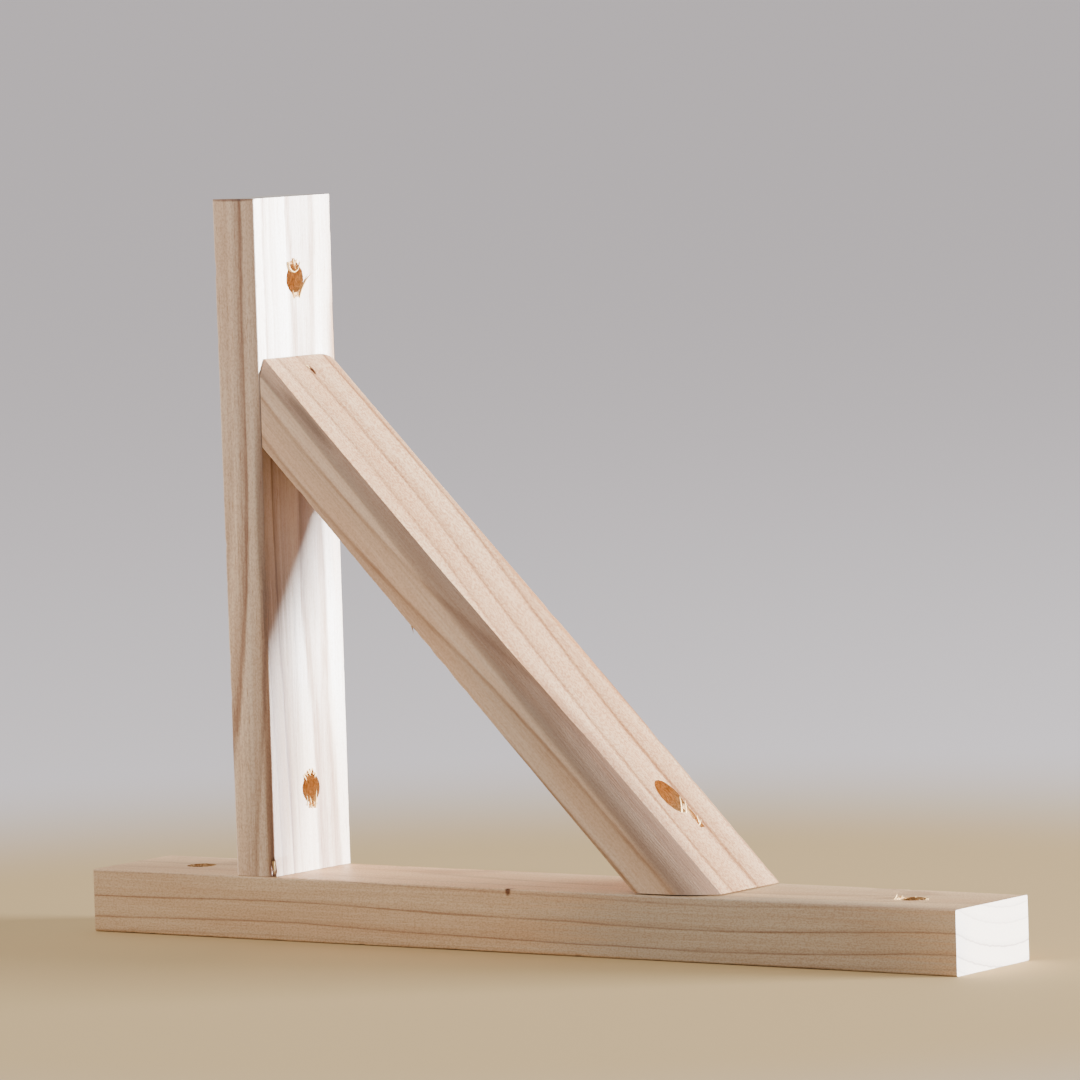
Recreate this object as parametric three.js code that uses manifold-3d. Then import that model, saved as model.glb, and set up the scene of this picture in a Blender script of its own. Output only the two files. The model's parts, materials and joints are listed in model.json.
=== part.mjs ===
// A lamp bracket of planed softwood laths: a long wall plate, an arm that stands square on it, and a brace
// at 45 degrees between the two.
//
// Millimetres, +Z up. The wall plate lies flat, as the bracket stands on a table. The origin is the middle
// of the plate's underside, the face that goes against the wall. +X runs along the plate, from the short
// tail behind the arm to the end that the brace points at. +Y is the back of the bracket. +Z runs out
// along the arm, away from the wall.

import * as THREE from 'three';
import { mergeVertices } from 'three/addons/utils/BufferGeometryUtils.js';
import Module from 'manifold-3d';

// Wall plate
const plateLength = 308;
const plateWidth = 40;
const plateThickness = 19.2;
const plateEase = 0.7;
const screwHoleDiameter = 9;
const screwHoleFromEnd = 26.5;

// Arm
const plateTail = 53.4;
const armReach = 204;
const armWidth = 39.8;
const armThickness = 14.7;
const armEase = 0.6;
const armSetBack = 1.1;
const cordHoleDiameter = 9;
const outerCordHoleFromTip = 24.8;
const innerCordHoleFromPlate = 24.9;

// Brace: its leg is measured on the underside, from the inner corner along the arm or the plate
const braceLeg = 129.4;
const braceThickness = 19;
const braceWidth = 39.4;
const braceUnderEase = 0.6;
const frontWaneWidth = 4.2;
const frontWaneDepth = 3.4;
const backWaneWidth = 5.5;
const backWaneDepth = 1.8;
const glueGap = 0.3;

// The brace's cord hole is drilled on from the arm's inner one, and drifts a little out and back
const drillDriftOut = 1.7;
const drillDriftBack = 1;

// How finely round stretches are divided, and how far a cutter runs past what it cuts
const holeSides = 48;
const waneSteps = 6;
const cutterOverrun = 5;

// Places that follow from the sizes
const plateLeft = -plateLength / 2;
const plateRight = plateLength / 2;
const armLeft = plateLeft + plateTail;
const armRight = armLeft + armThickness;
const armFront = -plateWidth / 2 + armSetBack;
const armMiddleY = armFront + armWidth / 2;
const innerCordHoleZ = plateThickness + innerCordHoleFromPlate;
const outerCordHoleZ = plateThickness + armReach - outerCordHoleFromTip;
const braceUpperLength = braceLeg * Math.SQRT2 + 2 * braceThickness;

const wasm = await Module();
wasm.setup();

// A closed three.js geometry as a solid that can be joined and cut.
function solidOf(geometry) {
  const bare = geometry.clone();
  bare.deleteAttribute('normal');
  bare.deleteAttribute('uv');
  const welded = mergeVertices(bare);
  return new wasm.Manifold(new wasm.Mesh({
    numProp: 3,
    vertProperties: new Float32Array(welded.attributes.position.array),
    triVerts: new Uint32Array(welded.index.array),
  }));
}

// The solid's vertices and triangles as a three.js geometry again.
function geometryOf(solid) {
  const { vertProperties, triVerts } = solid.getMesh();
  const geometry = new THREE.BufferGeometry();
  geometry.setAttribute('position', new THREE.BufferAttribute(new Float32Array(vertProperties), 3));
  geometry.setIndex(new THREE.BufferAttribute(new Uint32Array(triVerts), 1));
  geometry.computeVertexNormals();
  return geometry;
}

// A closed outline through the given [x, y] corners.
function outlineOf(corners) {
  return new THREE.Shape(corners.map(([x, y]) => new THREE.Vector2(x, y)));
}

// A lath's rectangular section, centred on zero, with a small flat planed on each of its four arrises.
function easedRectangle(width, height, ease) {
  const halfWidth = width / 2;
  const halfHeight = height / 2;
  return outlineOf([
    [-halfWidth + ease, -halfHeight],
    [halfWidth - ease, -halfHeight],
    [halfWidth, -halfHeight + ease],
    [halfWidth, halfHeight - ease],
    [halfWidth - ease, halfHeight],
    [-halfWidth + ease, halfHeight],
    [-halfWidth, halfHeight - ease],
    [-halfWidth, -halfHeight + ease],
  ]);
}

// A lath of the given section, with its length along Z from zero.
function lathAlongZ(section, length) {
  return new THREE.ExtrudeGeometry(section, { depth: length, bevelEnabled: false });
}

// A lath whose section's x is its Y and whose section's y is its Z, centred on zero along X.
function lathAlongX(section, length) {
  const geometry = lathAlongZ(section, length);
  geometry.translate(0, 0, -length / 2);
  const across = new THREE.Vector3(0, 1, 0);
  const up = new THREE.Vector3(0, 0, 1);
  const along = new THREE.Vector3(1, 0, 0);
  geometry.applyMatrix4(new THREE.Matrix4().makeBasis(across, up, along));
  return geometry;
}

// A straight drill from one point to another.
function drill(diameter, from, to) {
  const way = to.clone().sub(from);
  const geometry = new THREE.CylinderGeometry(diameter / 2, diameter / 2, way.length(), holeSides);
  const asMade = new THREE.Vector3(0, 1, 0);
  geometry.applyQuaternion(new THREE.Quaternion().setFromUnitVectors(asMade, way.normalize()));
  const middle = from.clone().lerp(to, 0.5);
  geometry.translate(middle.x, middle.y, middle.z);
  return solidOf(geometry);
}

// The wall plate, about its own middle, with an upright screw hole near each end.
function plateGeometry() {
  const section = easedRectangle(plateWidth, plateThickness, plateEase);
  let solid = solidOf(lathAlongX(section, plateLength));
  const holeX = plateLength / 2 - screwHoleFromEnd;
  const holeEnd = plateThickness / 2 + cutterOverrun;
  for (const x of [-holeX, holeX]) {
    const below = new THREE.Vector3(x, 0, -holeEnd);
    const above = new THREE.Vector3(x, 0, holeEnd);
    solid = solid.subtract(drill(screwHoleDiameter, below, above));
  }
  return geometryOf(solid);
}

// The arm, standing on zero, with two cord holes through its wide faces.
function armGeometry() {
  let solid = solidOf(lathAlongZ(easedRectangle(armThickness, armWidth, armEase), armReach));
  const holeEnd = armThickness / 2 + cutterOverrun;
  for (const z of [innerCordHoleFromPlate, armReach - outerCordHoleFromTip]) {
    const outside = new THREE.Vector3(-holeEnd, 0, z);
    const inside = new THREE.Vector3(holeEnd, 0, z);
    solid = solid.subtract(drill(cordHoleDiameter, outside, inside));
  }
  return geometryOf(solid);
}

// The brace's section: x runs back from its front face and y up to its upper face at zero. The upper front
// arris is worn round, and the upper back arris is worn flatter and wider.
function braceSection() {
  const corners = [];
  for (let step = 0; step <= waneSteps; step += 1) {
    const turn = (step / waneSteps) * Math.PI / 2;
    const x = frontWaneWidth * (1 - Math.cos(turn));
    corners.push([x, -frontWaneDepth * (1 - Math.sin(turn))]);
  }
  for (let step = 0; step <= waneSteps; step += 1) {
    const turn = (step / waneSteps) * Math.PI / 2;
    const x = braceWidth - backWaneWidth * (1 - Math.sin(turn));
    corners.push([x, -backWaneDepth * (1 - Math.cos(turn))]);
  }
  corners.push([braceWidth, -braceThickness + braceUnderEase]);
  corners.push([braceWidth - braceUnderEase, -braceThickness]);
  corners.push([braceUnderEase, -braceThickness]);
  corners.push([0, -braceThickness + braceUnderEase]);
  return outlineOf(corners.reverse());
}

// What lies between the brace's two mitre cuts: its side outline, pushed through past both its sides. The
// cuts stop short of the arm and the plate by the thickness of the glue.
function betweenMitres() {
  const upperEnd = braceUpperLength / 2 - glueGap * Math.SQRT2;
  const lowerEnd = upperEnd - braceThickness;
  const depth = braceWidth + 2 * cutterOverrun;
  const side = outlineOf([
    [-upperEnd - cutterOverrun, cutterOverrun],
    [-lowerEnd + cutterOverrun, -braceThickness - cutterOverrun],
    [lowerEnd - cutterOverrun, -braceThickness - cutterOverrun],
    [upperEnd + cutterOverrun, cutterOverrun],
  ]);
  const geometry = new THREE.ExtrudeGeometry(side, { depth, bevelEnabled: false });
  geometry.rotateX(Math.PI / 2);
  geometry.translate(0, depth - cutterOverrun, 0);
  return solidOf(geometry);
}

// The brace's place: the middle of its upper front edge, turned down from the arm to the plate.
const bracePlace = new THREE.Group();
const braceMiddle = braceUpperLength / 2 * Math.SQRT1_2;
bracePlace.position.set(armRight + braceMiddle, armFront, plateThickness + braceMiddle);
bracePlace.rotation.y = Math.PI / 4;
bracePlace.updateMatrixWorld();

// The brace in its own place, with X down its slope, Y back and Z out of its upper face.
function braceGeometry() {
  let solid = solidOf(lathAlongX(braceSection(), braceUpperLength));
  solid = solid.intersect(betweenMitres());
  const holeY = armMiddleY + drillDriftBack;
  const holeZ = innerCordHoleZ + drillDriftOut;
  const inside = new THREE.Vector3(armRight, holeY, holeZ);
  const outside = new THREE.Vector3(plateRight, holeY, holeZ);
  bracePlace.worldToLocal(inside);
  bracePlace.worldToLocal(outside);
  return geometryOf(solid.subtract(drill(cordHoleDiameter, inside, outside)));
}

function piece(name, color, geometry) {
  const material = new THREE.MeshStandardMaterial({ color, roughness: 0.62, metalness: 0 });
  const mesh = new THREE.Mesh(geometry, material);
  mesh.name = name;
  return mesh;
}

const plate = piece('wall_plate', 0xd8b896, plateGeometry());
plate.position.z = plateThickness / 2;

const arm = piece('arm', 0xe2cdb2, armGeometry());
arm.position.set(armLeft + armThickness / 2, armMiddleY, plateThickness);

bracePlace.add(piece('brace', 0xdcc0a0, braceGeometry()));

const bracket = new THREE.Group();
bracket.add(plate, arm, bracePlace);

export default bracket;
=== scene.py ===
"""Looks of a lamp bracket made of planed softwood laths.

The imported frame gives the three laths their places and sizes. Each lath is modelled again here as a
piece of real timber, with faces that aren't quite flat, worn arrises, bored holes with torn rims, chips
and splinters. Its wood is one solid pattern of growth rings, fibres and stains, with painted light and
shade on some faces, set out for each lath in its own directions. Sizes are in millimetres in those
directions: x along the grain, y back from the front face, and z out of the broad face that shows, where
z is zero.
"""

import json
import logging
import math
import random
from dataclasses import dataclass, field
from enum import Enum
from typing import Callable, Sequence, Union

import bmesh
import bpy
from mathutils import Matrix, Vector, noise


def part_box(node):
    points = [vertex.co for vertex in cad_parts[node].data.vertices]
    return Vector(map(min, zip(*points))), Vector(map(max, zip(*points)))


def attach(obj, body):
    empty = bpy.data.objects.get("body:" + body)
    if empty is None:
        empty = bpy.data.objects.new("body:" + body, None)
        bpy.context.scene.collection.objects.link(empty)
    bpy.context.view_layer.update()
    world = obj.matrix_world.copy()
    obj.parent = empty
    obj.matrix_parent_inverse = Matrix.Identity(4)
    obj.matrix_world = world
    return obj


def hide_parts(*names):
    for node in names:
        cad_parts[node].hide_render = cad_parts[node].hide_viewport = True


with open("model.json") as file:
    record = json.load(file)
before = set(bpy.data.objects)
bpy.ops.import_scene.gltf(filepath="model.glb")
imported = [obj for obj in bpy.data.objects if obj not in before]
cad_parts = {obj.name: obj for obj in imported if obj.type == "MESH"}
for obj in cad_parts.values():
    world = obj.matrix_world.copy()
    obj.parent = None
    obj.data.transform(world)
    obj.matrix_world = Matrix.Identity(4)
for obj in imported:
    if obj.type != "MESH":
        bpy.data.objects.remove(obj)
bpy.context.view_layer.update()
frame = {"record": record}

logging.basicConfig(level=logging.INFO, format="%(message)s")
LOG = logging.getLogger("lamp_bracket")

MM = 0.001
BODY = "root"
QUARTER_TURN = math.pi / 2
EIGHTH_TURN = math.pi / 4

# How softly a worn flat runs out on the narrow face: 1 is a plain flat
SOFT_FOOT = 1.3

# The sharpest edge that is shaded as a smooth one
CREASE = math.radians(32)

# How near a point counts as lying on an arris, and on the plane of a cut
NEAR_ARRIS = 1e-4
NEAR_PLANE = 1e-5

Socket = bpy.types.NodeSocket
Value = Union[Socket, float, Sequence[float]]
Colour = tuple[float, float, float]
Point = tuple[float, float, float]


class Turn(Enum):
    """How a lath is turned about the world's Y axis from lying along X."""

    LYING = 0.0
    STANDING = QUARTER_TURN
    SLOPING = EIGHTH_TURN


class Arris(Enum):
    """The four long arrises of a lath, by the signs of y and z on its section."""

    FRONT_UNDER = (-1, -1)
    BACK_UNDER = (1, -1)
    BACK_UPPER = (1, 1)
    FRONT_UPPER = (-1, 1)


def eased(value: float) -> float:
    """Returns a value held between 0 and 1, with soft ends."""
    held = min(1.0, max(0.0, value))
    return held * held * (3.0 - 2.0 * held)


def through(*stops: tuple[float, float]) -> Callable[[float], float]:
    """Makes a smooth course through a few stops.

    Args:
        stops: Rising pairs of a place and the value there.

    Returns:
        A function that gives the value at any place.
    """

    def course(place: float) -> float:
        """Returns the value at a place."""
        if place <= stops[0][0]:
            return stops[0][1]
        for (start, low), (end, high) in zip(stops, stops[1:]):
            if place <= end:
                return low + (high - low) * eased((place - start) / (end - start))
        return stops[-1][1]

    return course


def opening_middle(name: str) -> Vector:
    """Finds the middle of one of the frame's stated openings.

    Args:
        name: The opening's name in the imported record.

    Returns:
        Its middle, in metres.
    """
    for opening in frame["record"]["physics"]["openings"]:
        if opening["name"] == name:
            low, high = opening["box_m"]
            return (Vector(low) + Vector(high)) / 2
    raise ValueError(f"The frame has no opening called {name}")


def wobble(x: float, y: float, z: float) -> float:
    """Returns a smooth noise, between about -1 and 1, at a place."""
    return noise.noise(Vector((x, y, z)))


def add_to_scene(name: str, data: bpy.types.ID) -> bpy.types.Object:
    """Adds a mesh, a light or a camera to the scene and returns its object."""
    item = bpy.data.objects.new(name, data)
    bpy.context.scene.collection.objects.link(item)
    return item


def mesh_of(work: bmesh.types.BMesh, name: str) -> bpy.types.Mesh:
    """Turns a bmesh into a mesh and frees it.

    Args:
        work: The bmesh.
        name: The mesh's name.

    Returns:
        The mesh.
    """
    mesh = bpy.data.meshes.new(name)
    work.to_mesh(mesh)
    work.free()
    return mesh


def slice_at(work: bmesh.types.BMesh, point: Vector, normal: Vector, keep_outer: bool = True) -> None:
    """Cuts a mesh's faces where a plane crosses them.

    Args:
        work: The mesh.
        point: A point on the plane.
        normal: The plane's normal.
        keep_outer: Whether what lies on the normal's side stays.
    """
    bmesh.ops.bisect_plane(
        work,
        geom=work.verts[:] + work.edges[:] + work.faces[:],
        dist=NEAR_PLANE,
        plane_co=point,
        plane_no=normal,
        clear_outer=not keep_outer,
    )


class Graph:
    """A material's node tree, with short calls for the nodes that the finishes share."""

    def __init__(self, name: str) -> None:
        """Starts an empty node tree.

        Args:
            name: The material's name.
        """
        self.material = bpy.data.materials.new(name)
        self.material.use_nodes = True
        self.nodes = self.material.node_tree.nodes
        self.links = self.material.node_tree.links
        self.nodes.clear()

    def feed(self, socket: Socket, value: Value) -> None:
        """Links a socket to another, or sets it to a plain value."""
        if isinstance(value, bpy.types.NodeSocket):
            self.links.new(value, socket)
        else:
            socket.default_value = value

    def lath_place(self, origin: Vector, turn: Turn) -> Socket:
        """Gives the place on a lath in its own directions.

        Args:
            origin: Where the lath's own zero is, in metres.
            turn: How the lath is turned.

        Returns:
            The place in millimetres.
        """
        coordinates = self.nodes.new("ShaderNodeTexCoord")
        mapping = self.nodes.new("ShaderNodeMapping")
        mapping.vector_type = "TEXTURE"
        mapping.inputs["Location"].default_value = origin
        mapping.inputs["Rotation"].default_value = (0.0, turn.value, 0.0)
        mapping.inputs["Scale"].default_value = (MM, MM, MM)
        self.links.new(coordinates.outputs["Object"], mapping.inputs["Vector"])
        return mapping.outputs["Vector"]

    def end_grain(self, turn: Turn) -> Socket:
        """Gives 1 on a face cut across the grain and 0 on one along it.

        Args:
            turn: How the lath is turned.

        Returns:
            The share of end grain.
        """
        coordinates = self.nodes.new("ShaderNodeTexCoord")
        along = (math.cos(turn.value), 0.0, -math.sin(turn.value))
        facing = self.vector("DOT_PRODUCT", coordinates.outputs["Normal"], along)
        return self.range(self.math("ABSOLUTE", facing), 0.45, 0.75)

    def math(self, operation: str, first: Value, second: Value = 0.0, third: Value = 0.0) -> Socket:
        """Adds a Math node.

        Args:
            operation: The node's operation, such as MULTIPLY.
            first: Its first value.
            second: Its second value, where the operation has one.
            third: Its third value, where the operation has one.

        Returns:
            The node's result.
        """
        node = self.nodes.new("ShaderNodeMath")
        node.operation = operation
        for socket, value in zip(node.inputs, (first, second, third)):
            self.feed(socket, value)
        return node.outputs[0]

    def vector(self, operation: str, first: Value, second: Value = (0.0, 0.0, 0.0)) -> Socket:
        """Adds a Vector Math node.

        Args:
            operation: The node's operation, such as ADD.
            first: Its first vector.
            second: Its second vector, where the operation has one.

        Returns:
            The result, a number for LENGTH and DOT_PRODUCT and a vector otherwise.
        """
        node = self.nodes.new("ShaderNodeVectorMath")
        node.operation = operation
        self.feed(node.inputs[0], first)
        self.feed(node.inputs[1], second)
        return node.outputs["Value" if operation in ("LENGTH", "DOT_PRODUCT") else "Vector"]

    def noise(self, place: Socket, stretch: Point, seed: float, detail: float) -> bpy.types.Node:
        """Adds a Noise texture whose grains are stretched.

        Args:
            place: The place in millimetres.
            stretch: How many grains there are to a millimetre, along each direction.
            seed: A shift that makes one noise differ from another.
            detail: The texture's detail.

        Returns:
            The texture node.
        """
        scaled = self.vector("MULTIPLY", place, stretch)
        shifted = self.vector("ADD", scaled, (seed, 0.7 * seed, 1.3 * seed))
        node = self.nodes.new("ShaderNodeTexNoise")
        node.inputs["Scale"].default_value = 1.0
        node.inputs["Detail"].default_value = detail
        self.feed(node.inputs["Vector"], shifted)
        return node

    def range(
        self, value: Value, low: float, high: float, to_low: float = 0.0, to_high: float = 1.0
    ) -> Socket:
        """Adds a soft Map Range node.

        Args:
            value: What is mapped.
            low: The value that gives to_low.
            high: The value that gives to_high.
            to_low: The result at low.
            to_high: The result at high.

        Returns:
            The mapped number.
        """
        node = self.nodes.new("ShaderNodeMapRange")
        node.interpolation_type = "SMOOTHSTEP"
        self.feed(node.inputs["Value"], value)
        limits = {"From Min": low, "From Max": high, "To Min": to_low, "To Max": to_high}
        for name, number in limits.items():
            node.inputs[name].default_value = number
        return node.outputs["Result"]

    def mix(self, factor: Value, first: Value, second: Value, blend: str = "MIX") -> Socket:
        """Adds a colour Mix node.

        Args:
            factor: How much of the second colour there is.
            first: The first colour.
            second: The second colour.
            blend: The node's blend type.

        Returns:
            The mixed colour.
        """
        node = self.nodes.new("ShaderNodeMix")
        node.data_type = "RGBA"
        node.blend_type = blend
        self.feed(node.inputs[0], factor)
        colours = [socket for socket in node.inputs if socket.type == "RGBA"]
        for socket, value in zip(colours, (first, second)):
            self.feed(socket, (*value, 1.0) if isinstance(value, tuple) else value)
        return next(socket for socket in node.outputs if socket.type == "RGBA")

    def stain(self, colour: Socket, share: Value, strength: Value, stain: Colour) -> Socket:
        """Multiplies a colour by a stain.

        Args:
            colour: The colour so far.
            share: Where the stain is.
            strength: How strong it is.
            stain: What the colour is multiplied by at full strength.

        Returns:
            The stained colour.
        """
        return self.mix(self.math("MULTIPLY", share, strength), colour, stain, "MULTIPLY")

    def about_zero(self, value: Socket, reach: float) -> Socket:
        """Spreads a noise of 0 to 1 over a reach to each side of zero."""
        return self.math("MULTIPLY_ADD", value, 2 * reach, -reach)

    def parts(self, vector: Socket) -> tuple[Socket, Socket, Socket]:
        """Returns a vector's three numbers."""
        node = self.nodes.new("ShaderNodeSeparateXYZ")
        self.feed(node.inputs[0], vector)
        return node.outputs[0], node.outputs[1], node.outputs[2]

    def join(self, x: Value, y: Value, z: Value) -> Socket:
        """Returns a vector made of three numbers."""
        node = self.nodes.new("ShaderNodeCombineXYZ")
        for socket, value in zip(node.inputs, (x, y, z)):
            self.feed(socket, value)
        return node.outputs[0]

    def steps(
        self, value: Value, low: float, high: float, stops: Sequence[tuple[float, float]]
    ) -> Socket:
        """Adds a grey Color Ramp through the given stops.

        Args:
            value: What is looked up.
            low: The value at the ramp's start.
            high: The value at the ramp's end.
            stops: Rising pairs of a value and the grey there, at most 32.

        Returns:
            The grey found.
        """
        span = high - low
        share = self.math("DIVIDE", self.math("SUBTRACT", value, low), span)
        node = self.nodes.new("ShaderNodeValToRGB")
        node.color_ramp.interpolation = "EASE"
        elements = node.color_ramp.elements
        while len(elements) > 1:
            elements.remove(elements[-1])
        for number, (place, grey) in enumerate(stops):
            at = (place - low) / span
            element = elements[0] if number == 0 else elements.new(at)
            element.position = at
            element.color = (grey, grey, grey, 1.0)
        self.feed(node.inputs[0], share)
        return node.outputs["Color"]

    def surface(self, colour: Value, roughness: Value, specular: float) -> bpy.types.Node:
        """Ends the tree in a Principled shader.

        Args:
            colour: The base colour.
            roughness: The roughness.
            specular: The specular level.

        Returns:
            The shader node.
        """
        shader = self.nodes.new("ShaderNodeBsdfPrincipled")
        output = self.nodes.new("ShaderNodeOutputMaterial")
        self.feed(shader.inputs["Base Color"], colour)
        self.feed(shader.inputs["Roughness"], roughness)
        shader.inputs["Specular IOR Level"].default_value = specular
        self.links.new(shader.outputs["BSDF"], output.inputs["Surface"])
        return shader

    def relief(self, shader: bpy.types.Node, height: Socket, depth: float, strength: float) -> None:
        """Gives a shader a bump.

        Args:
            shader: The shader node.
            height: The bump's height, from 0 to 1.
            depth: The bump's full depth in millimetres.
            strength: The bump's strength.
        """
        bump = self.nodes.new("ShaderNodeBump")
        bump.inputs["Distance"].default_value = depth * MM
        bump.inputs["Strength"].default_value = strength
        self.feed(bump.inputs["Height"], height)
        self.links.new(bump.outputs["Normal"], shader.inputs["Normal"])


@dataclass(frozen=True)
class Swing:
    """A slow sideways swing of the grain along a lath.

    Attributes:
        across: How far the rings move back at its middle.
        outward: How far the rings move out of the broad face at its middle.
        middle: Where along the lath its middle is.
        reach: How far it reaches to each side.
    """

    across: float
    outward: float
    middle: float
    reach: float


@dataclass(frozen=True)
class MarkAndPaintedLight:
    """A mark in the wood, such as a pin knot or a streak of blue stain, or a patch of painted light or
    shade, such as a painted shadow or a painted highlight strip.

    Attributes:
        place: Its middle.
        size: Its half size in the lath's three directions.
        colour: The colour that the wood is multiplied by at its middle.
    """

    place: Point
    size: Point
    colour: Colour


@dataclass(frozen=True)
class FaceTint:
    """The tone of the surfaces that face one way, which paints light or shade on them, such as a lighter
    top face or a darker shaded face, or a grey stain with painted shade on a worn arris.

    Attributes:
        facing: The direction that they face, on the lath.
        starts: How squarely a surface faces that way where the tone starts.
        full: How squarely it does where the tone is full.
        colour: The colour that the wood is multiplied by there.
        specks: How strong the speckle of torn fibre ends is there.
    """

    facing: Point
    starts: float
    full: float
    colour: Colour
    specks: float = 0.0


class Grain(Enum):
    """The wood's patterns: the grains to a millimetre each way, a shift, and the noise's detail."""

    STREAKS = ((0.02, 1.3, 1.3), 1.0, 4.0)
    FIBRES = ((0.16, 3.4, 3.4), 2.0, 3.0)
    RIPPLE = ((0.03, 0.6, 0.6), 3.0, 3.0)
    MOTTLE = ((0.012, 0.10, 0.10), 4.0, 2.0)
    FUZZ = ((1.4, 2.3, 2.3), 5.0, 3.0)
    STRENGTH = ((0.018, 0.12, 0.12), 6.0, 1.0)
    DRIFT = ((0.011, 0.02, 0.02), 11.0, 1.0)


class Stain(Enum):
    """What the wood's colour is multiplied by in its finer marks."""

    STREAK = (0.86, 0.785, 0.72)
    PORE = (0.70, 0.55, 0.44)
    ROUGH_GRAIN = (0.72, 0.60, 0.53)
    TORN_END = (0.66, 0.50, 0.42)
    RING_END = (0.50, 0.46, 0.46)


@dataclass(frozen=True)
class Softwood:
    """Planed bare softwood, cut from the log at a known distance from the pith.

    Attributes:
        name: The material's name.
        seed: A shift that makes one lath's fibres differ from another's.
        pith: Where the pith runs, as y and z.
        rings: The radius of each year's dark late wood and how dark it is, from the pith outwards.
        band: The width of the late wood.
        shade: How dark the wood just inside each line is, as a share of the line.
        swings: The grain's slow swings along the lath.
        marks_and_painted_light: The marks in it, and its patches of painted light and shade.
        tints: The tones of the faces that face one way: painted light and shade, and a stain with
            painted shade.
        pale: The early wood's colour.
        warm: The colour of the early wood's warmer patches.
        late: The late wood's colour.
        sawn: The sawn ends' colour.
        dashes: How dark the short pores along the grain are.
        specks: How strong the fine speckle is.
        gloss: The specular level.
        stray_back: How far the rings slowly stray back and forward.
        stray_out: How far they slowly stray out and in.
        shiver: How far they stray from one fibre to the next.
    """

    name: str
    seed: float
    pith: tuple[float, float]
    rings: tuple[tuple[float, float], ...]
    band: float = 1.25
    shade: float = 0.3
    swings: tuple[Swing, ...] = ()
    marks_and_painted_light: tuple[MarkAndPaintedLight, ...] = ()
    tints: tuple[FaceTint, ...] = ()
    pale: Colour = (0.82, 0.58, 0.37)
    warm: Colour = (0.78, 0.51, 0.30)
    late: Colour = (0.32, 0.16, 0.075)
    sawn: Colour = (0.54, 0.47, 0.41)
    dashes: float = 0.45
    specks: float = 0.55
    gloss: float = 0.5
    stray_back: float = 0.8
    stray_out: float = 0.6
    shiver: float = 0.4

    def pattern(self, graph: Graph, place: Socket, grain: Grain) -> bpy.types.Node:
        """Adds one of the wood's patterns, shifted as this lath's are."""
        stretch, shift, detail = grain.value
        return graph.noise(place, stretch, self.seed + shift, detail)

    def ring_radius(self, graph: Graph, place: Socket) -> Socket:
        """Gives the distance from the pith, with the grain's swings and its small waves.

        Args:
            graph: The material's graph.
            place: The place on the lath.

        Returns:
            The radius in millimetres.
        """
        along, back, out = graph.parts(place)
        drift = self.pattern(graph, place, Grain.DRIFT)
        _, drift_back, drift_out = graph.parts(drift.outputs["Color"])
        back = graph.math("ADD", back, graph.about_zero(drift_back, self.stray_back))
        out = graph.math("ADD", out, graph.about_zero(drift_out, self.stray_out))
        for swing in self.swings:
            share = graph.math("DIVIDE", graph.math("SUBTRACT", along, swing.middle), swing.reach)
            squared = graph.math("MULTIPLY", share, share)
            bell = graph.math("EXPONENT", graph.math("MULTIPLY", squared, -1.0))
            back = graph.math("SUBTRACT", back, graph.math("MULTIPLY", bell, swing.across))
            out = graph.math("SUBTRACT", out, graph.math("MULTIPLY", bell, swing.outward))
        pith_back, pith_out = self.pith
        from_pith = graph.join(
            0.0, graph.math("SUBTRACT", back, pith_back), graph.math("SUBTRACT", out, pith_out)
        )
        ripple = self.pattern(graph, place, Grain.RIPPLE).outputs["Fac"]
        shiver = graph.about_zero(ripple, self.shiver)
        return graph.math("ADD", graph.vector("LENGTH", from_pith), shiver)

    def late_wood(self, graph: Graph, radius: Socket) -> Socket:
        """Gives how much of the wood is late wood: rising slowly through each year and ending at once.

        Args:
            graph: The material's graph.
            radius: The distance from the pith.

        Returns:
            The share of late wood.
        """
        # Each year's course: how far from its line, in widths of the late wood, and how dark
        rise = ((-2.4, 0.0), (-0.6, self.shade), (-0.1, 1.0), (0.35, 0.0))
        stops: list[tuple[float, float]] = []
        for ring, dark in self.rings:
            for offset, grey in rise:
                place = ring + offset * self.band
                if not stops or place > stops[-1][0]:
                    stops.append((place, grey * dark))
        return graph.steps(radius, stops[0][0] - self.band, stops[-1][0] + self.band, stops)

    def build(self, origin: Vector, turn: Turn) -> bpy.types.Material:
        """Makes the material.

        Args:
            origin: Where the lath's own zero is, in metres.
            turn: How the lath is turned.

        Returns:
            The finished material.
        """
        graph = Graph(self.name)
        place = graph.lath_place(origin, turn)
        ends = graph.end_grain(turn)
        late = self.late_wood(graph, self.ring_radius(graph, place))
        streaks, fibres, mottle, fuzz, strength = (
            self.pattern(graph, place, grain).outputs["Fac"]
            for grain in (Grain.STREAKS, Grain.FIBRES, Grain.MOTTLE, Grain.FUZZ, Grain.STRENGTH)
        )

        colour = graph.mix(graph.range(mottle, 0.38, 0.68), self.pale, self.warm)
        late_share = graph.math("MULTIPLY", late, graph.range(strength, 0.30, 0.62, 0.80, 1.0))
        broken = graph.math("MULTIPLY", late_share, graph.range(fibres, 0.25, 0.62, 0.75, 1.0))
        colour = graph.mix(broken, colour, self.late)
        colour = graph.stain(colour, graph.range(streaks, 0.30, 0.70), 0.75, Stain.STREAK.value)
        colour = graph.stain(colour, graph.range(fibres, 0.58, 0.74), self.dashes, Stain.PORE.value)
        colour = graph.stain(colour, graph.range(fuzz, 0.44, 0.62), self.specks, Stain.ROUGH_GRAIN.value)
        colour = graph.mix(graph.math("MULTIPLY", ends, 0.8), colour, self.sawn)
        colour = graph.stain(colour, ends, late_share, Stain.RING_END.value)
        # Its marks, and its patches of painted light and shade, such as painted shadows and painted
        # highlight strips
        for patch in self.marks_and_painted_light:
            colour = self.mark(graph, place, colour, patch, streaks)
        # Painted light and shade on the faces that face one way, and a stain with painted shade on a
        # worn arris
        for tint in self.tints:
            colour = self.tone(graph, turn, colour, tint, fuzz)

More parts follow.
